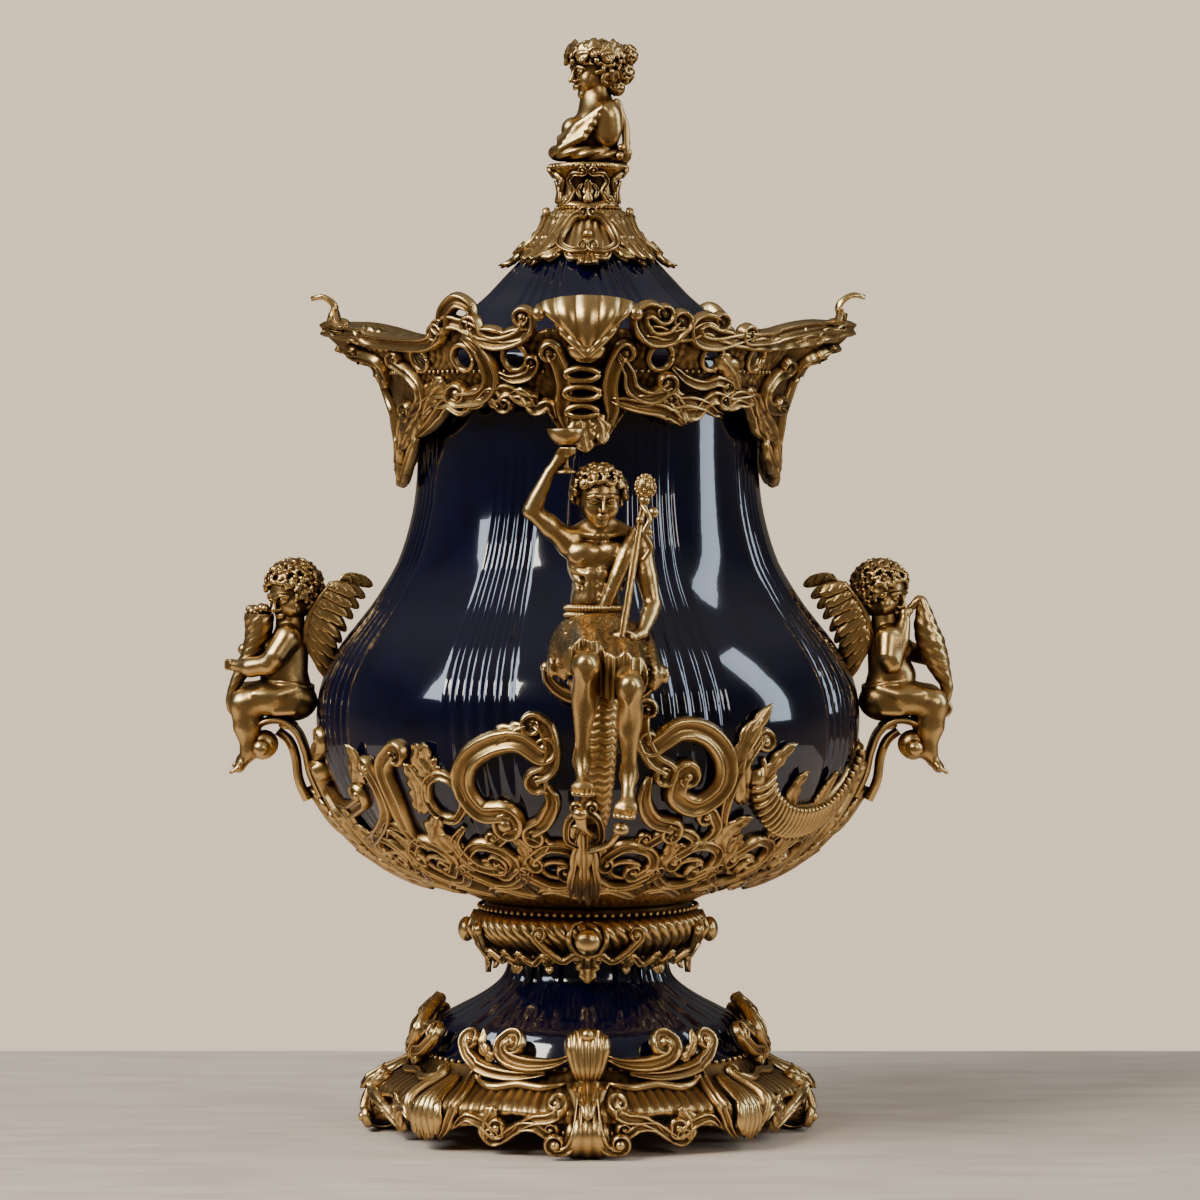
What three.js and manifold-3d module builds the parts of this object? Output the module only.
// A covered mantel urn: a cobalt porcelain vase, foot and lid in gilt bronze mounts
//
// Millimetres, +Z up. The origin is on the mantel, under the urn's axis. The front looks along -Y,
// and azimuths are degrees from the front toward +X.

import * as THREE from 'three';
import { mergeVertices } from 'three/addons/utils/BufferGeometryUtils.js';
import Module from 'manifold-3d';

const wasm = await Module();
wasm.setup();

// Heights of the stacked pieces, from the mantel up
const BASE_LEDGE = 46;
const FOOT_HEIGHT = 60;
const COLLAR_HEIGHT = 33;
const BODY_HEIGHT = 328;
const LID_HEIGHT = 80;
const CAP_HEIGHT = 3.4;
const PEDESTAL_HEIGHT = 29;
const BUST_HEIGHT = 77;

// Radii of the turned pieces
const BODY_RADIUS = 163;
const BODY_SEAT_RADIUS = 57;
const NECK_RADIUS = 102;
const FOOT_RADIUS = 98;
const FOOT_NECK_RADIUS = 48;
const COLLAR_RADIUS = 71;
const LID_TOP_RADIUS = 21;
const PEDESTAL_RADIUS = 24.6;

// Reaches of the mounts from the axis
const BASE_REACH = 138;
const RAIL_RADIUS = 125;
const RAIL_REACH = 156;
const HORN_REACH = 168;
const BRACKET_STANDOFF = 40;
const BRACKET_REACH = BODY_RADIUS + BRACKET_STANDOFF;

// Walls, castings and clearances
const PORCELAIN_WALL = 6;
const LID_WALL = 5;
const CASTING = 4;
const GAP = 0.3;
const LID_CLEARANCE = 1.5;
const BOWL_LIFT = 1.2;
const STROKE_LIFT = 3.8;

// Carved porcelain
const FLUTE_GROUPS = 8;
const FLUTE_DEPTH = 2.4;
const FOOT_FLUTE_DEPTH = 2.2;
const LID_SWIRL = -10;

// Mount details
const FOOT_VOLUTE_RADIUS = 14;
const FOOT_WIDTH = 38;
const LIP_LENGTH = 10;
const RAIL_RISE = 9;
const HORN_RISE = 21;
const HOLE_RADIUS = 6.4;
const HOLE_DROP = 5;
const SIDE_DROP = 78;
const SEAT_HEIGHT = 280;
const SEAT_INSET = 7.8;
const BRACKET_SEAT = 247;

// Drawn heights of the figures, which scale about the seats that carry them
const YOUTH_HEIGHT = 226;
const PUTTO_HEIGHT = 128;

// Levels where one piece rests on the next
const FOOT_TOP = BASE_LEDGE + FOOT_HEIGHT;
const COLLAR_TOP = FOOT_TOP + COLLAR_HEIGHT;
const BODY_TOP = COLLAR_TOP + BODY_HEIGHT;
const LID_TOP = BODY_TOP + LID_HEIGHT;
const CAP_TOP = LID_TOP + CAP_HEIGHT;
const PEDESTAL_TOP = CAP_TOP + PEDESTAL_HEIGHT;

const bronze = new THREE.MeshStandardMaterial({ color: 0xa87a3d, roughness: 0.34, metalness: 1 });
const cobalt = new THREE.MeshStandardMaterial({ color: 0x070b2c, roughness: 0.06, metalness: 0 });

// Profiles: share of the height, then share of the way between two named radii
const BELLY_SHARE = 0.326;
const BOWL_PROFILE = [
  [0, 0], [0.034, 0.311], [0.07, 0.538], [0.162, 0.821], [0.24, 0.948], [BELLY_SHARE, 1],
];
const NECK_PROFILE = [
  [BELLY_SHARE, 1], [0.41, 0.926], [0.473, 0.754], [0.6, 0.246], [0.747, 0.016], [1, 0],
];
const FOOT_PROFILE = [
  [0, 1], [0.07, 1], [0.333, 0.84], [0.433, 0.66], [0.533, 0.432],
  [0.633, 0.24], [0.75, 0.08], [0.85, 0.02], [1, 0],
];
const LID_PROFILE = [
  [0, 1], [0.04, 0.98], [0.163, 0.772], [0.31, 0.63], [0.425, 0.5], [0.54, 0.39],
  [0.65, 0.285], [0.76, 0.18], [0.875, 0.08], [1, 0],
];

const radians = THREE.MathUtils.degToRad;
const mix = THREE.MathUtils.lerp;

// Reads a profile's rows [input, output] at one input
function follow(rows, input) {
  const index = Math.max(rows.findIndex(([start]) => start >= input), 1);
  const upper = input > rows.at(-1)[0] ? rows.at(-1) : rows[index];
  const lower = rows[rows.indexOf(upper) - 1];
  const share = THREE.MathUtils.clamp((input - lower[0]) / (upper[0] - lower[0]), 0, 1);
  return mix(lower[1], upper[1], share);
}

function polar(azimuth, radius, height) {
  const angle = radians(azimuth);
  return new THREE.Vector3(radius * Math.sin(angle), -radius * Math.cos(angle), height);
}

function bodyRadius(height) {
  const share = (height - COLLAR_TOP) / BODY_HEIGHT;
  if (share < BELLY_SHARE) return mix(BODY_SEAT_RADIUS, BODY_RADIUS, follow(BOWL_PROFILE, share));
  return mix(NECK_RADIUS, BODY_RADIUS, follow(NECK_PROFILE, share));
}

function footRadius(height) {
  return mix(FOOT_NECK_RADIUS, FOOT_RADIUS, follow(FOOT_PROFILE, (height - BASE_LEDGE) / FOOT_HEIGHT));
}

function lidRadius(height) {
  const rim = NECK_RADIUS - LID_CLEARANCE;
  return mix(LID_TOP_RADIUS, rim, follow(LID_PROFILE, (height - BODY_TOP) / LID_HEIGHT));
}

// Solids from grids, stock shapes and their joins
function solidOf(vertProperties, triVerts) {
  return new wasm.Manifold(new wasm.Mesh({ numProp: 3, vertProperties, triVerts }));
}

function fromGeometry(source) {
  source.deleteAttribute('normal');
  source.deleteAttribute('uv');
  const merged = mergeVertices(source, 1e-4);
  return solidOf(new Float32Array(merged.attributes.position.array), new Uint32Array(merged.index.array));
}

function signedVolume(points, triangles) {
  let total = 0;
  for (let index = 0; index < triangles.length; index += 3) {
    const [a, b, c] = [0, 1, 2].map((corner) => points[triangles[index + corner]]);
    total += a.dot(new THREE.Vector3().crossVectors(b, c));
  }
  return total;
}

// Triangles between two rings that run the same way round, each step taken where it comes first
function stitch(near, nearOffset, far, farOffset) {
  const triangles = [];
  let i = 0;
  let j = 0;
  while (i < near.length || j < far.length) {
    const nearIndex = nearOffset + (i % near.length);
    const farIndex = farOffset + (j % far.length);
    if (j === far.length || (i < near.length && (i + 1) * far.length <= (j + 1) * near.length)) {
      i += 1;
      triangles.push(nearIndex, nearOffset + (i % near.length), farIndex);
    } else {
      j += 1;
      triangles.push(nearIndex, farOffset + (j % far.length), farIndex);
    }
  }
  return triangles;
}

// Rings of points joined row by row, closed over each end, or looped into a band
function gridSolid(rings, looped = false) {
  const points = rings.flat();
  const offsets = [0];
  for (const ring of rings.slice(0, -1)) offsets.push(offsets.at(-1) + ring.length);
  const triangles = [];
  const rows = looped ? rings.length : rings.length - 1;
  for (let row = 0; row < rows; row++) {
    const next = (row + 1) % rings.length;
    triangles.push(...stitch(rings[row], offsets[row], rings[next], offsets[next]));
  }
  if (!looped) {
    const last = offsets.at(-1);
    for (let column = 1; column < rings[0].length - 1; column++) triangles.push(0, column + 1, column);
    for (let column = 1; column < rings.at(-1).length - 1; column++) {
      triangles.push(last, last + column, last + column + 1);
    }
  }
  if (signedVolume(points, triangles) < 0) triangles.reverse();
  return solidOf(new Float32Array(points.flatMap((point) => point.toArray())), new Uint32Array(triangles));
}

function unite(solids) {
  return solids.reduce((joined, solid) => joined.add(solid));
}

function turned(solid, degrees) {
  return solid.rotate([0, 0, degrees]);
}

// A casting that repeats at the front and the back
function frontAndBack(solids) {
  return solids.flatMap((solid) => [solid, turned(solid, 180)]);
}

function evenAngles(count) {
  return Array.from({ length: count }, (_, index) => (index * 360) / count);
}

// Plain rings for the inside of a turned piece
function plainRings(profile, count, start = 0) {
  return profile.map(
    ([radius, height]) => evenAngles(count).map((angle) => polar(start + angle, radius, height)),
  );
}

function ball([x, y, z], radius, detail = 0) {
  return fromGeometry(new THREE.IcosahedronGeometry(radius, detail)).translate([x, y, z]);
}

function blob([x, y, z], [width, depth, height], columns = 8, rows = 5) {
  return fromGeometry(new THREE.SphereGeometry(1, columns, rows))
    .rotate([90, 0, 0])
    .scale([width, depth, height])
    .translate([x, y, z]);
}

// A tapered limb or scroll along points; across sets how its section stands, tips rounds its free ends
function limb(path, radii, { sides = 5, flat = 1, across = [0, 1, 0], tips = '' } = {}) {
  const points = path.map((point) => new THREE.Vector3(...point));
  const reference = new THREE.Vector3(...across);
  const stations = points.map((point, index) => {
    const before = points[Math.max(index - 1, 0)];
    const after = points[Math.min(index + 1, points.length - 1)];
    const along = after.clone().sub(before).normalize();
    return { point, along, radius: radii[Math.min(index, radii.length - 1)] };
  });
  const rounded = ({ point, along, radius }, way) => ({
    point: point.clone().addScaledVector(along, way * radius * 0.6),
    along,
    radius: radius * 0.5,
  });
  if (tips.includes('start')) stations.unshift(rounded(stations[0], -1));
  if (tips.includes('end')) stations.push(rounded(stations.at(-1), 1));
  return gridSolid(stations.map(({ point, along, radius }) => {
    const side = reference.clone().addScaledVector(along, -reference.dot(along)).normalize();
    const up = new THREE.Vector3().crossVectors(along, side);
    return evenAngles(sides).map((angle) => point.clone()
      .addScaledVector(side, radius * flat * Math.cos(radians(angle)))
      .addScaledVector(up, radius * Math.sin(radians(angle))));
  }));
}

// Upright rings [x, y, z, half width, half depth] joined into a trunk, skirt or drapery
function trunk(rows, sides = 8) {
  return gridSolid(rows.map(([x, y, z, width, depth]) => evenAngles(sides).map((angle) => new THREE.Vector3(
    x + width * Math.cos(radians(angle)),
    y + depth * Math.sin(radians(angle)),
    z,
  ))));
}

// A raised stroke that lies on the bowl, along points [azimuth, height]
function bowlStroke(points, width, height, segments = 5) {
  const stations = points.map(([azimuth, level]) => new THREE.Vector3(azimuth, level, 0));
  const curve = new THREE.CatmullRomCurve3(stations);
  const onCurve = (share) => {
    const place = curve.getPoint(THREE.MathUtils.clamp(share, 0, 1));
    return polar(place.x, bodyRadius(place.y) + STROKE_LIFT, place.y);
  };
  const rings = Array.from({ length: segments + 1 }, (_, index) => {
    const share = index / segments;
    const point = onCurve(share);
    const along = onCurve(share + 0.02).sub(onCurve(share - 0.02)).normalize();
    const slope = (bodyRadius(point.z - 1) - bodyRadius(point.z + 1)) / 2;
    const out = new THREE.Vector3(point.x, point.y, 0).normalize().setZ(slope).normalize();
    const side = new THREE.Vector3().crossVectors(along, out).normalize();
    const taper = index === 0 || index === segments ? 0.6 : 1;
    const corner = (across, up) => point.clone()
      .addScaledVector(side, across * taper)
      .addScaledVector(out, up * taper);
    return [corner(-width / 2, 0), corner(0, height), corner(width / 2, 0)];
  });
  return gridSolid(rings);
}

function onBowl(azimuth, height, raised) {
  return polar(azimuth, bodyRadius(height) + raised, height).toArray();
}

// Azimuths with close steps in each fluted group and wide steps in the plain panels
function groupedAngles(halfWidth, flutes, panelSteps) {
  const pitch = 360 / FLUTE_GROUPS;
  const steps = flutes * 2;
  const angles = [];
  for (let group = 0; group < FLUTE_GROUPS; group++) {
    const centre = pitch * (group + 0.5);
    for (let step = 0; step <= steps; step++) {
      angles.push({ azimuth: centre - halfWidth + (2 * halfWidth * step) / steps, valley: step % 2 });
    }
    for (let step = 1; step < panelSteps; step++) {
      const span = pitch - 2 * halfWidth;
      angles.push({ azimuth: centre + halfWidth + (span * step) / panelSteps, valley: 0 });
    }
  }
  return angles;
}

function flutedRings(rows, angles) {
  return rows.map(({ radius, height, depth, swirl = 0 }) => angles.map(
    ({ azimuth, valley }) => polar(azimuth + swirl, radius - depth * valley, height),
  ));
}

// The porcelain vase: fluted outside, hollow to the bottom, open at the neck
function urnBody() {
  const shares = [...BOWL_PROFILE, ...NECK_PROFILE.slice(1)].map(([share]) => share);
  const rows = shares.map((share, index) => {
    const height = COLLAR_TOP + Math.max(share * BODY_HEIGHT, GAP);
    const plain = index < 2 || index === shares.length - 1;
    return { radius: bodyRadius(height), height, depth: plain ? 0 : FLUTE_DEPTH };
  });
  const wall = PORCELAIN_WALL + FLUTE_DEPTH / 2;
  const cavity = [[NECK_RADIUS - PORCELAIN_WALL, BODY_TOP]];
  for (const share of [0.6, 0.45, BELLY_SHARE, 0.2, 0.1, 0.05]) {
    const height = COLLAR_TOP + share * BODY_HEIGHT;
    cavity.push([bodyRadius(height) - wall, height]);
  }
  const angles = groupedAngles(9, 2, 2);
  return gridSolid([...flutedRings(rows, angles), ...plainRings(cavity, 20, angles[0].azimuth)]);
}

// The porcelain foot: a hollow bell, plain in front and behind and fluted at both sides
function foot() {
  const plainHalf = 33;
  const plainSteps = 4;
  const flutes = 6;
  const angles = [];
  for (const side of [0, 180]) {
    for (let step = 0; step < plainSteps; step++) {
      angles.push({ azimuth: side - plainHalf + (2 * plainHalf * step) / plainSteps, valley: 0 });
    }
    for (let step = 0; step < flutes * 2; step++) {
      const span = 180 - 2 * plainHalf;
      angles.push({ azimuth: side + plainHalf + (span * step) / (flutes * 2), valley: step % 2 });
    }
  }
  const rows = [0, 0.35, 0.55, 0.75, 1].map((share, index, shares) => {
    const height = BASE_LEDGE + GAP + share * (FOOT_HEIGHT - GAP);
    const carved = index > 0 && index < shares.length - 1;
    return { radius: footRadius(height), height, depth: carved ? FOOT_FLUTE_DEPTH : 0 };
  });
  const cavity = [[FOOT_NECK_RADIUS - PORCELAIN_WALL, FOOT_TOP - PORCELAIN_WALL]];
  for (const share of [0.65, 0.4, 0.12]) {
    const height = BASE_LEDGE + share * FOOT_HEIGHT;
    cavity.push([footRadius(height) - PORCELAIN_WALL - FOOT_FLUTE_DEPTH, height]);
  }
  cavity.push([FOOT_RADIUS - PORCELAIN_WALL, BASE_LEDGE + GAP]);
  return gridSolid([...plainRings(cavity, 20, -plainHalf), ...flutedRings(rows, angles)]);
}

// The porcelain lid: a fluted dome with a flange that drops inside the neck
function lid() {
  const bottom = BODY_TOP + GAP;
  const flangeRadius = NECK_RADIUS - PORCELAIN_WALL - LID_CLEARANCE;
  const inner = flangeRadius - LID_WALL;
  const angles = groupedAngles(11, 2, 1);
  const hollow = [0.85, 0.45].map((share) => {
    const height = BODY_TOP + share * LID_HEIGHT;
    return [lidRadius(height) - LID_WALL - FLUTE_DEPTH, height];
  });
  const flangeEnd = BODY_TOP - LIP_LENGTH;
  hollow.push([inner, BODY_TOP + LID_WALL], [inner, flangeEnd]);
  hollow.push([flangeRadius, flangeEnd], [flangeRadius, bottom]);
  const rows = [0, 0.05, 0.19, 0.5, 0.8, 1].map((share, index, shares) => {
    const height = bottom + share * (LID_HEIGHT - GAP);
    const carved = index > 1 && index < shares.length - 1;
    const depth = carved ? FLUTE_DEPTH * (1 - share) : 0;
    return { radius: lidRadius(height), height, depth, swirl: LID_SWIRL * share };
  });
  return gridSolid([...plainRings(hollow, 16, angles[0].azimuth), ...flutedRings(rows, angles)]);
}

// The gadrooned bronze collar between foot and bowl, with four cabochons over the foot's neck
function collar() {
  const bore = FOOT_NECK_RADIUS - 4;
  const section = [
    [bore, 0, 0], [0.74 * COLLAR_RADIUS, 0, 0], [0.92 * COLLAR_RADIUS, 0.2, 1],
    [COLLAR_RADIUS, 0.62, 1], [0.86 * COLLAR_RADIUS, 1, 0], [bore, 1, 0],
  ];
  const slant = 7;
  const groove = 1.6;
  const bottom = FOOT_TOP + GAP;
  const ring = gridSolid(section.map(([radius, share, carved]) => evenAngles(20).map((angle, index) => polar(
    angle + slant * share,
    radius - groove * carved * (index % 2),
    bottom + share * (COLLAR_HEIGHT - GAP),
  ))), true);
  const eye = bottom + 0.45 * COLLAR_HEIGHT;
  const trims = [0, 90, 180, 270].flatMap((azimuth) => [
    ball(polar(azimuth, COLLAR_RADIUS - 3, eye).toArray(), 9),
    limb(
      [[COLLAR_RADIUS - 6, eye - 6], [COLLAR_RADIUS - 9, FOOT_TOP - 8]].map(
        ([radius, height]) => polar(azimuth, radius, height).toArray(),
      ),
      [6.5, 5],
      { sides: 4, across: polar(azimuth + 90, 1, 0).toArray() },
    ),
  ]);
  return unite([ring, ...trims]);
}

// The crest above the ledge, [degrees from a foot, height]: a shell over each foot, then scrolls
const FRONT_CREST = [[0, 25], [7.5, 20], [15, 6], [22.5, 12], [30, 13], [37.5, 3], [45, 7]];
const SIDE_CREST = [[0, 12], [7.5, 12], [15, 16], [22.5, 17], [30, 12], [37.5, 3], [45, 7]];

// The pierced and gadrooned bronze base on four scroll feet, hollow underneath
function base() {
  const lowerEdge = [[0, 20], [9, 20], [16, 25], [24, 22], [30, 12], [37.5, 14], [45, 7]];
  const swell = [[0, 2], [12, 0], [22, -3], [30, 0], [38, 2], [45, 5]];
  const ledge = BASE_LEDGE;
  const shoulder = BASE_REACH - 12;
  const rings = [
    () => [FOOT_RADIUS - 12, ledge - CASTING / 2],
    () => [FOOT_RADIUS + 2, ledge],
    (fold, ridge, crest) => [FOOT_RADIUS + 4, ledge + crest],
    (fold, ridge) => [FOOT_RADIUS + 12 + 0.5 * follow(swell, fold) + ridge, ledge - 5],
    (fold, ridge) => [shoulder + 2 + follow(swell, fold) + ridge, 0.78 * ledge],
    (fold, ridge) => [shoulder + follow(swell, fold) + ridge, follow(lowerEdge, fold)],
    (fold) => [
      shoulder - 1.6 * CASTING + follow(swell, fold),
      Math.max(0.64 * ledge, follow(lowerEdge, fold)),
    ],
  ].map((place) => evenAngles(48).map((angle, index) => {
    const fold = Math.abs(((angle + 45) % 90) - 45);
    const side = Math.abs(Math.sin(radians(angle))) > 0.7;
    const crest = follow(side ? SIDE_CREST : FRONT_CREST, fold);
    return polar(angle, ...place(fold, index % 2 ? 1.2 : -0.6, crest));
  }));
  const parts = [gridSolid(rings, true)];
  for (const azimuth of [0, 90, 180, 270]) parts.push(scrollFoot(azimuth));
  for (const azimuth of [90, 270]) {
    const at = (radius, height) => polar(azimuth, radius, height).toArray();
    parts.push(limb(
      [
        at(FOOT_RADIUS + 9, ledge + 8), at(FOOT_RADIUS + 8, ledge + 22),
        at(FOOT_RADIUS - 3, ledge + 31), at(FOOT_RADIUS - 20, ledge + 36),
      ],
      [5, 5, 4, 3.4],
      { sides: 4, across: polar(azimuth + 90, 1, 0).toArray(), flat: 1.5, tips: 'end' },
    ));
  }
  return unite(parts);
}

// One foot of the base: a rolled volute that stands on a flat facet
function scrollFoot(azimuth) {
  const sides = 8;
  const rise = FOOT_VOLUTE_RADIUS * Math.cos(Math.PI / sides);
  const centre = BASE_REACH - FOOT_VOLUTE_RADIUS;
  const ends = [-0.5, 0.5].map(
    (share) => polar(azimuth, centre, rise).add(polar(azimuth + 90, share * FOOT_WIDTH, 0)).toArray(),
  );
  const tilt = polar(azimuth, Math.sin(Math.PI / sides), Math.cos(Math.PI / sides)).toArray();
  return limb(ends, [FOOT_VOLUTE_RADIUS], { sides, across: tilt });
}

// Scroll strokes of the bowl's cradle, seen from the front as [azimuth, height above the bowl's seat]
const CRADLE_STROKES = [
  {
    width: 14,
    height: 9,
    segments: 6,
    points: [[-9.5, 97], [-17, 105], [-24, 90], [-26, 72], [-23, 60], [-18, 66], [-17.5, 80]],
  },
  {
    width: 10,
    height: 7,
    segments: 4,
    points: [[-9, 117], [-6.8, 105], [-7.2, 86], [-6.8, 66], [-10, 50], [-14, 37]],
  },
  { width: 15, height: 9, segments: 3, points: [[-43, 100], [-46, 82], [-44.5, 62], [-42, 38]] },
  { width: 11, height: 8, segments: 3, points: [[-53, 84], [-50, 66], [-55, 38]] },
  { width: 12, height: 10, segments: 3, points: [[-77, 96], [-84, 76], [-83, 58], [-70, 42]] },
  {
    width: 14,
    height: 9,
    segments: 6,
    points: [[11, 98], [20, 113], [28, 98], [29, 76], [23, 66], [18.5, 74], [19, 92]],
  },
  { width: 15, height: 10, segments: 4, points: [[38.5, 122], [33.5, 104], [32.5, 80], [30, 38]] },
  {
    width: 14,
    height: 12,
    segments: 4,
    points: [[36, 90], [42, 66], [55, 50], [69, 56], [76, 74], [82, 94]],
  },
  { width: 11, height: 7, segments: 2, points: [[-32.5, 60], [-29.5, 50], [-28, 37]] },
  {
    width: 10,
    height: 7,
    segments: 4,
    points: [[10.4, 122], [11.4, 105], [11.8, 86], [11.4, 66], [15, 50], [18, 37]],
  },
];

// The cradle's dish, in shares of the vase's height
const DISH_TOP = 0.107;
const DISH_RIM = 0.13;
const DISH_SCALLOP = 0.03;

// Strokes up to this width are left off the plainer back
const FINE_STROKE = 10;

// The cradle's eye ring, in the terms of the strokes
const CRADLE_RING = { azimuth: -33, height: 70, radius: 13 };

// The bronze cradle that the bowl sits in: a scalloped dish, with scrolls that climb the bowl
function cradle() {
  const inner = [DISH_TOP, 0.07, 0.034, 0].map((share) => [share, BOWL_LIFT]);
  const section = [[0, 2 * CASTING], [0.05, 2 * CASTING], [DISH_RIM, 1.6 * CASTING], ...inner];
  const dish = gridSolid(section.map(([share, raised], row) => evenAngles(28).map((angle, index) => {
    const scallop = row === 2 ? DISH_SCALLOP * (index % 2) : 0;
    const height = COLLAR_TOP + Math.max((share + scallop) * BODY_HEIGHT, GAP);
    return polar(angle, bodyRadius(height) + raised, height);
  })), true);
  const stroke = ({ points, width, height, segments }) => bowlStroke(
    points.map(([azimuth, level]) => [azimuth, COLLAR_TOP + level]),
    width,
    height,
    segments,
  );
  const broad = CRADLE_STROKES.filter(({ width }) => width > FINE_STROKE);
  const fine = CRADLE_STROKES.filter(({ width }) => width <= FINE_STROKE);
  const spread = (CRADLE_RING.radius * 180) / (Math.PI * BODY_RADIUS);
  const arc = [-100, -50, 0, 50, 100, 150, 200, 250].map((angle) => [
    CRADLE_RING.azimuth + spread * Math.cos(radians(angle)),
    COLLAR_TOP + CRADLE_RING.height + CRADLE_RING.radius * Math.sin(radians(angle)),
  ]);
  const ring = bowlStroke(arc, 8, 7, 7);
  const stem = limb(
    [[9, 19], [22, 24], [42, 20], [62, 14]].map(([level, raised]) => onBowl(90, COLLAR_TOP + level, raised)),
    [7, 7, 7, 7],
    { sides: 4, flat: 1.5 },
  );
  return unite([dish, ...fine.map(stroke), ...frontAndBack([...broad.map(stroke), ring, stem])]);
}

// How far from the axis the youth's seat begins: clear of the vase and of the column below it
function seatRadius() {
  return Math.max(bodyRadius(SEAT_HEIGHT), BODY_RADIUS - SEAT_INSET);
}

// The column in front of the bowl: [x, share of the way up to the seat, half width, half depth]
const COLUMN_ROWS = [
  [-3, 0.078, 5, 3], [-3, 0.163, 6, 4], [-3, 0.248, 7, 5],
  [0, 0.397, 9, 6.5], [2, 0.638, 10, 6.5], [6, 0.965, 12, 6.5],
];
const COLUMN_DEPTH = 6.5;
const COLUMN_STANDOFF = 9;

// Two small rests under the youth's toes, as x, and how far below the seat they start
const TOE_RESTS = [-8, 12];
const TOE_REST_DROP = 87;

// The bronze column and seat in front of the bowl, below the seated youth
function frontBracket() {
  const proud = COLUMN_STANDOFF + GAP;
  const column = gridSolid(COLUMN_ROWS.map(([x, share, width, depth]) => evenAngles(6).map((angle) => {
    const height = mix(COLLAR_TOP, SEAT_HEIGHT, share);
    const middle = bodyRadius(height) + proud + depth;
    return new THREE.Vector3(
      x + width * Math.cos(radians(angle)),
      -middle + depth * Math.sin(radians(angle)),
      height,
    );
  })));
  const seatBack = -(seatRadius() + 3);
  const seat = trunk([
    [8, seatBack - 17, SEAT_HEIGHT - 14, 12, 9],
    [8, seatBack - 15, SEAT_HEIGHT - 7, 19, 13],
    [8, seatBack - 15, SEAT_HEIGHT, 20, 13],
  ], 8);
  const scrollAt = seatBack - 12;
  const scroll = limb(
    [[24, scrollAt, SEAT_HEIGHT - 9], [36, scrollAt, SEAT_HEIGHT - 4], [40, scrollAt, SEAT_HEIGHT + 6]],
    [3, 3, 4],
    { tips: 'end' },
  );
  const face = (height) => -(bodyRadius(height) + proud + 2 * COLUMN_DEPTH);
  const rests = TOE_RESTS.map((x) => {
    const height = SEAT_HEIGHT - TOE_REST_DROP;
    const root = [0.5 * x, face(height - 13) + 4, height - 13];
    return limb([root, [x, face(height), height], [1.1 * x, face(height) - 2, height + 12]], [3.4, 3, 3]);
  });
  return unite([column, seat, scroll, ...rests]);
}

// The scroll bracket that carries a putto, a leg that ends in a volute; side is -1 or 1
const VOLUTE_RADIUS = 12;
const VOLUTE_INSET = 14.5;
const VOLUTE_WIDTH = 26;
const LEG_START = 65;
const LEG_STANDOFF = 22;

function sideBracket(side) {
  const stem = bodyRadius(COLLAR_TOP + LEG_START) + LEG_STANDOFF;
  const middle = [side * (BRACKET_REACH - VOLUTE_INSET), BRACKET_SEAT - VOLUTE_RADIUS - 2];
  const start = [side * (stem - 1), 0, COLLAR_TOP + LEG_START];
  const leg = limb(
    [start, [side * (stem + 4), 0, middle[1] - 10], [middle[0], 0, middle[1]]],
    [4.5, 4.5, 6],
    { sides: 4, flat: 2.4, across: [0, 1, 0] },
  );
  const ends = [-0.5, 0.5].map((share) => [middle[0], share * VOLUTE_WIDTH, middle[1]]);
  const volute = limb(ends, [VOLUTE_RADIUS], { sides: 10, across: [0, 0, 1] });
  return unite([leg, volute]);
}

// The limbs, masses and trunks of a figure that is drawn on its own grid and scaled to its place
function figureKit(place, scale) {
  const sized = (values) => values.map((value) => value * scale);
  return {
    tube: (path, radii, options) => limb(path.map(place), sized(radii), options),
    mass: (centre, size, columns, rows) => blob(place(centre), sized(size), columns, rows),
    block: (rows, sides) => trunk(
      rows.map(([x, y, z, width, depth]) => [...place([x, y, z]), ...sized([width, depth])]),
      sides,
    ),
  };
}

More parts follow.
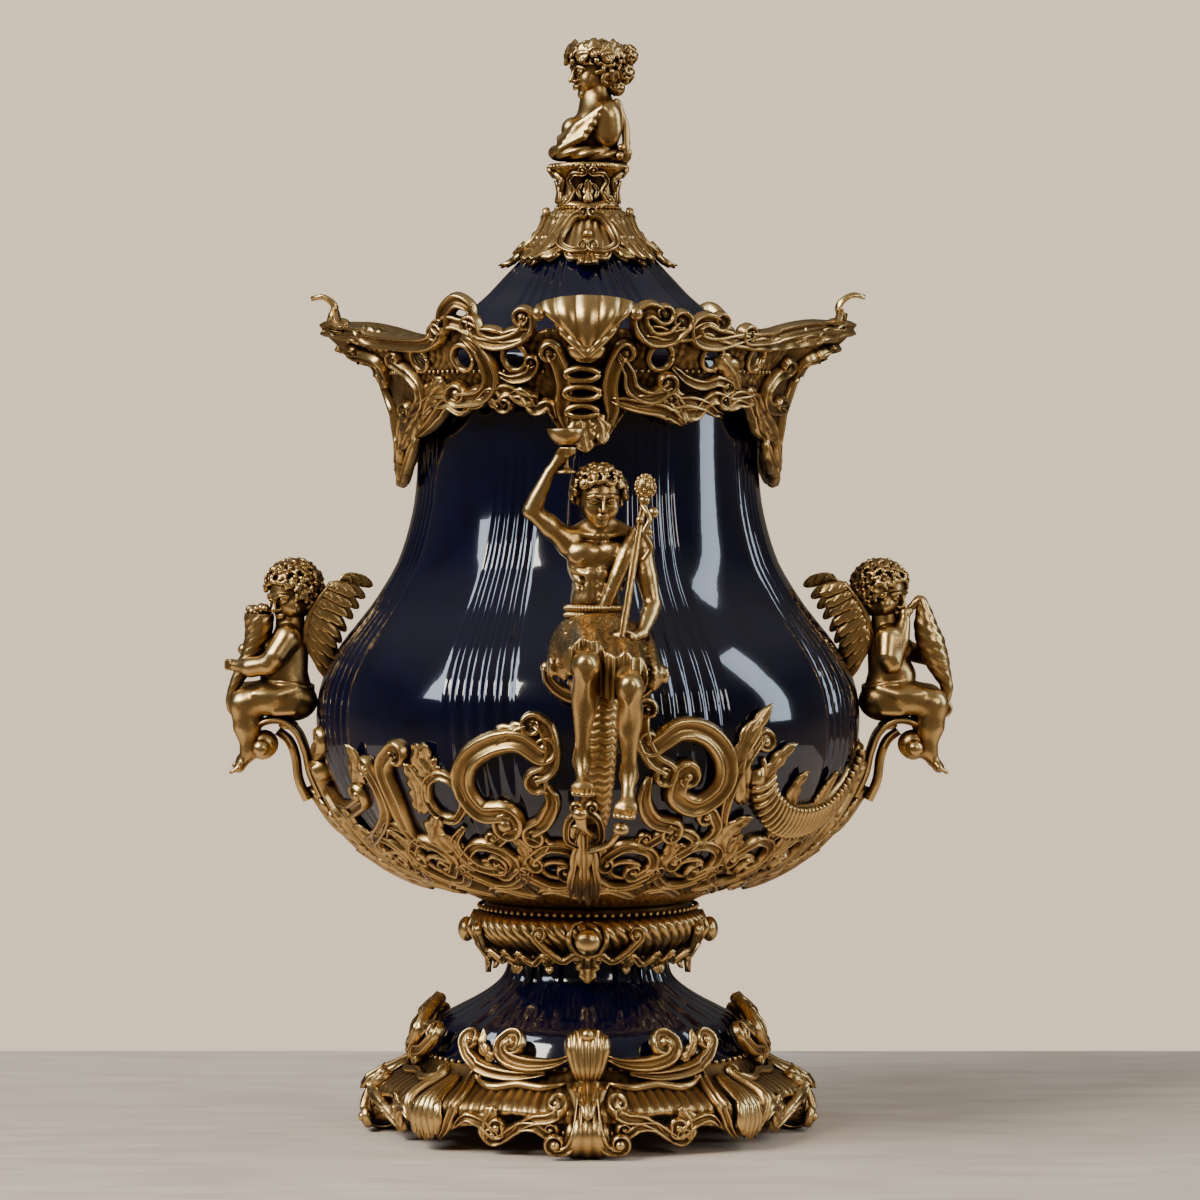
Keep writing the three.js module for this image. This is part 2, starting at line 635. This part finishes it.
// The seated youth with goblet and staff, on a grid [x, y, z] about the seat's front edge
function seatedFigure() {
  const scale = YOUTH_HEIGHT / 226;
  const seatFront = seatRadius();
  const place = ([x, y, z]) => [x * scale, -seatFront + y * scale, SEAT_HEIGHT + GAP + z * scale];
  const { tube, mass, block } = figureKit(place, scale);
  const torso = block([
    [3, -14, 34, 13, 9.5], [2.5, -11, 46, 14, 10], [4.5, -7, 60, 18.5, 12],
    [6, -6, 70, 19, 11], [8, -6, 77, 9, 7], [7.5, -8, 90, 6.5, 6.5],
  ], 7);
  const head = mass([6.5, -11, 95], [10.5, 12.5, 14], 7, 4);
  const hair = mass([5.5, -6, 103], [16, 15, 12.5], 7, 4);
  const raisedArm = tube(
    [[-8, -7, 72], [-24, -10, 83], [-32, -13, 95], [-24, -14, 113], [-13, -15, 127]],
    [7.5, 6.8, 5.8, 4.8, 4.4],
  );
  const heldArm = tube(
    [[27, -8, 70], [34, -13, 56], [37, -19, 41], [33, -30, 30], [20, -40, 24]],
    [7.5, 6.6, 5.6, 5, 4.6],
  );
  const goblet = gridSolid([[6.2, 115], [2, 120], [2.4, 126], [7, 131], [11, 139.6], [4, 136]].map(
    ([radius, z]) => evenAngles(7).map((angle) => new THREE.Vector3(...place([
      -12 + radius * Math.cos(radians(angle)),
      -14 + radius * Math.sin(radians(angle)),
      z,
    ]))),
  ));
  const staff = tube([[19, -40, 20], [31.5, -22, 100]], [3.4, 3]);
  const cone = mass([32.7, -21, 108], [6.8, 6.8, 8.5], 6, 4);
  const kilt = block(
    [[6, -18, 0, 22, 15], [8, -29, 4, 27, 23], [7, -26, 18, 23, 20], [3, -15, 37, 15, 11.5]],
    8,
  );
  const legs = [
    [[1, -38, 6], [-0.6, -66, 1], [-1.6, -62, -22], [-2.8, -50, -51], [-2.6, -58, -60], [-2, -68, -66]],
    [[18, -38, 2], [23.7, -64, -9], [23.8, -61, -30], [23.2, -50, -58], [22, -58, -70], [20.5, -68, -79]],
  ].map((path) => tube(path, [11, 9.5, 8.6, 5.4, 6, 4], { across: [1, 0, 0] }));
  return unite([torso, head, hair, raisedArm, heldArm, goblet, staff, cone, kilt, ...legs]);
}

// What both putti share, on a grid [outward, y, z] about their bracket's seat
function puttoParts({ tube, mass }) {
  const wing = { sides: 4, flat: 0.4 };
  return [
    tube([[-24, 0, 1], [-20, 0, 27], [-20, 0, 43], [-22, 0, 60]], [11.5, 12.5, 11, 6], { sides: 6 }),
    mass([-20, 0, 74], [14.5, 13, 14.5], 7, 4),
    mass([-25, 0, 80], [17, 17, 15.5], 7, 4),
    tube([[-28, -4, 44], [-42, -8, 60], [-49, -12, 80]], [5, 7, 3], { ...wing, across: [0.3, 1, 0] }),
    tube([[-28, 4, 44], [-45, 8, 64], [-54, 12, 86]], [5, 7, 3], { ...wing, across: [0.3, -1, 0] }),
  ];
}

function puttoGrid(side) {
  const scale = PUTTO_HEIGHT / 128;
  const seat = BRACKET_SEAT + GAP;
  const place = ([out, y, z]) => [side * (BRACKET_REACH + out * scale), y * scale, seat + z * scale];
  return figureKit(place, scale);
}

// The left putto looks outward and hugs a cornucopia
function leftPutto() {
  const grid = puttoGrid(-1);
  const { tube } = grid;
  const leg = (y, lift) => tube(
    [
      [-20, y * 0.6, 10], [-6, y, 12], [5, y, 8 + lift],
      [4, y, -18 + lift], [7, y, -26 + lift], [12, y, -31 + lift],
    ],
    [9.5, 9, 8.4, 5, 5, 3.4],
  );
  return unite([
    ...puttoParts(grid),
    leg(-12, 0),
    leg(12, 4),
    tube([[-20, -10, 48], [-12, -15, 37], [5, -9, 31], [9, -5, 32]], [6, 6, 4.8, 5]),
    tube([[-20, 10, 48], [-10, 14, 38], [6, 6, 36]], [6, 5.6, 5]),
    tube(
      [[-5, -2, 76], [-4, -2, 58], [1, -2, 42], [12, -3, 17], [13, -2, 8], [8, -2, 5]],
      [6, 8.5, 6.5, 3.6, 3, 3],
    ),
  ]);
}

// The right putto looks outward and blows into a curved horn
function rightPutto() {
  const grid = puttoGrid(1);
  const { tube } = grid;
  const leg = (y, swing) => tube(
    [
      [-20, y * 0.6, 10], [-8, y, 12], [5, y, 9],
      [3 + swing, y, -19], [6 + swing, y, -27], [10 + swing, y, -31],
    ],
    [9.5, 9, 8.4, 5, 5, 3.2],
  );
  return unite([
    ...puttoParts(grid),
    leg(-12, 0),
    leg(12, 3),
    tube([[-24, -10, 48], [-24, -16, 34], [-12, -11, 48], [-8, -7, 64]], [6, 6, 5, 4.6]),
    tube([[-20, 10, 46], [-8, 13, 36], [10, 4, 34]], [6, 5.4, 5]),
    tube(
      [[-12, -4, 64], [-4, -4, 73], [2, -3, 60], [4, -2, 44], [12, -2, 22], [14, -2, 12], [9, -2, 4]],
      [3, 5, 7.6, 8, 3.6, 3, 4],
    ),
  ]);
}

// The gallery's lower edge below the urn's rim and its crest above the rail, as [azimuth, height]
const GALLERY_EDGE = [
  [-90, -SIDE_DROP], [-82.5, -58], [-75, -44], [-60, -33], [-45, -27], [-37.5, -32], [-30, -26], [-22.5, -27],
  [-15, -36], [-7.5, -50], [0, -58], [7.5, -48], [15, -30], [22.5, -28], [30, -42], [37.5, -28], [45, -36],
  [52.5, -26], [60, -34], [75, -46], [82.5, -60], [90, -SIDE_DROP],
];
const GALLERY_CREST = [
  [-90, 3], [-60, -1], [-45, -3], [-37.5, 19], [-30, 14], [-22.5, -5], [-15, 9], [-7.5, 19], [0, 21], [7.5, 19],
  [15, 13], [22.5, -3], [30, 9], [37.5, 6], [45, -3], [60, -1], [90, 3],
];

// The pierced bronze gallery that stands off the neck and sweeps out into two side lips
function gallery() {
  const rail = BODY_TOP + RAIL_RISE;
  const rings = [
    ({ edge }) => [bodyRadius(edge) + 3 * GAP, edge],
    ({ edge }) => [bodyRadius(edge) + 2 * CASTING, edge + 1],
    ({ lip, hood }) => [NECK_RADIUS + 19 + 0.12 * lip - 0.2 * hood, BODY_TOP - 12],
    ({ lip, hood, lift }) => [RAIL_RADIUS + lip + hood, rail + lift],
    ({ lip, lift }) => [RAIL_RADIUS + lip - 1.6 * CASTING, rail + lift + 1],
    ({ lip }) => [NECK_RADIUS + 13 + 0.12 * lip, BODY_TOP - 12],
  ].map((place) => evenAngles(48).map((angle) => {
    const around = ((angle + 90) % 180) - 90;
    const beyond = Math.max(0, (Math.abs(around) - 52) / 38);
    return polar(angle, ...place({
      edge: BODY_TOP + follow(GALLERY_EDGE, around),
      lift: follow(GALLERY_CREST, around),
      lip: (RAIL_REACH - RAIL_RADIUS) * beyond ** 2.2,
      hood: follow([[0, 14], [7.5, 12], [15, 0]], Math.abs(around)),
    }));
  }));
  const horn = (side) => limb(
    [
      [side * (RAIL_REACH - 8), 0, rail], [side * (RAIL_REACH + 1), 0, rail + 8],
      [side * (RAIL_REACH + 2), 0, rail + 15], [side * HORN_REACH, 0, rail + HORN_RISE],
    ],
    [5.5, 5.5, 4, 2.4],
    { sides: 4 },
  );
  const holes = [20, 36].flatMap((azimuth) => [azimuth, -azimuth, 180 - azimuth, 180 + azimuth]).map(
    (azimuth) => fromGeometry(new THREE.CylinderGeometry(HOLE_RADIUS, HOLE_RADIUS, 40, 5))
      .translate([0, -(NECK_RADIUS + 22), BODY_TOP - HOLE_DROP])
      .rotate([0, 0, azimuth]),
  );
  const pierced = holes.reduce((band, hole) => band.subtract(hole), gridSolid(rings, true));
  return unite([pierced, horn(-1), horn(1)]);
}

// The bronze cap of leaves and grapes that lies over the lid's top
function lidCap() {
  const lowerEdge = [[0, 34], [15, 27], [30, 31], [45, 32], [60, 22], [75, 30], [90, 37]];
  const relief = [[0, 6], [15, 3], [30, 7], [45, 4], [60, 7], [75, 3.4], [90, 6]];
  const clear = 5 * GAP;
  const rows = [['inner', 0], ['inner', 1], ['outer', 1], ['outer', 0.5], ['outer', 0.1], ['top', 0]];
  return gridSolid(rows.map(([face, share]) => evenAngles(24).map((angle) => {
    if (face === 'top') return polar(angle, LID_TOP_RADIUS - 1, CAP_TOP);
    const fold = 90 - Math.abs((angle % 180) - 90);
    const height = LID_TOP + GAP - share * follow(lowerEdge, fold);
    const leaf = face === 'outer' ? follow(relief, fold) : 0;
    return polar(angle, lidRadius(Math.min(height, LID_TOP)) + clear + leaf, height);
  })));
}

// The waisted bronze pedestal under the bust
function finialPedestal() {
  const bottom = CAP_TOP + GAP;
  const rows = [[0.74, 0], [0.8, 0.16], [0.68, 0.3], [0.68, 0.6], [1, 0.86], [0.98, 1]];
  return gridSolid(rows.map(([share, level]) => evenAngles(16).map((angle, index) => {
    const corner = index % 4 === 2 ? 1.12 : 0.96;
    return polar(angle, PEDESTAL_RADIUS * share * corner, bottom + level * (PEDESTAL_HEIGHT - GAP));
  })));
}

// The draped bust with a wreathed head, which looks to the urn's left side
function finialBust() {
  const scale = BUST_HEIGHT / 77;
  const place = ([x, y, z]) => [x * scale, y * scale, PEDESTAL_TOP + GAP + z * scale];
  const { mass, block } = figureKit(place, scale);
  return unite([
    block([
      [2, 0, 0, 19, 16], [1, 0, 6, 24, 19], [1, 0, 12, 22, 18],
      [4, 0, 26, 13, 16], [5, 0, 34, 7, 7], [3, 0, 48, 6, 6],
    ], 8),
    mass([1, 0, 52], [11.5, 10, 12.5], 7, 5),
    mass([7, 0, 59], [14.5, 13.5, 13.5], 8, 5),
    ball(place([25, 0, 69]), 7 * scale),
    ball(place([22, 0, 56]), 9.5 * scale),
  ]);
}

const PIECES = [
  ['base', bronze, base],
  ['foot', cobalt, foot],
  ['collar', bronze, collar],
  ['urn_body', cobalt, urnBody],
  ['cradle', bronze, cradle],
  ['front_bracket', bronze, frontBracket],
  ['seated_figure', bronze, seatedFigure],
  ['bracket_left', bronze, () => sideBracket(-1)],
  ['bracket_right', bronze, () => sideBracket(1)],
  ['putto_left', bronze, leftPutto],
  ['putto_right', bronze, rightPutto],
  ['gallery', bronze, gallery],
  ['lid', cobalt, lid],
  ['lid_cap', bronze, lidCap],
  ['finial_pedestal', bronze, finialPedestal],
  ['finial_bust', bronze, finialBust],
];

function meshOf(name, material, solid) {
  const { vertProperties, triVerts } = solid.getMesh();
  const geometry = new THREE.BufferGeometry();
  geometry.setAttribute('position', new THREE.BufferAttribute(new Float32Array(vertProperties), 3));
  geometry.setIndex(new THREE.BufferAttribute(new Uint32Array(triVerts), 1));
  geometry.computeVertexNormals();
  const mesh = new THREE.Mesh(geometry, material);
  mesh.name = name;
  return mesh;
}

const urn = new THREE.Group();
for (const [name, material, make] of PIECES) urn.add(meshOf(name, material, make()));

export default urn;
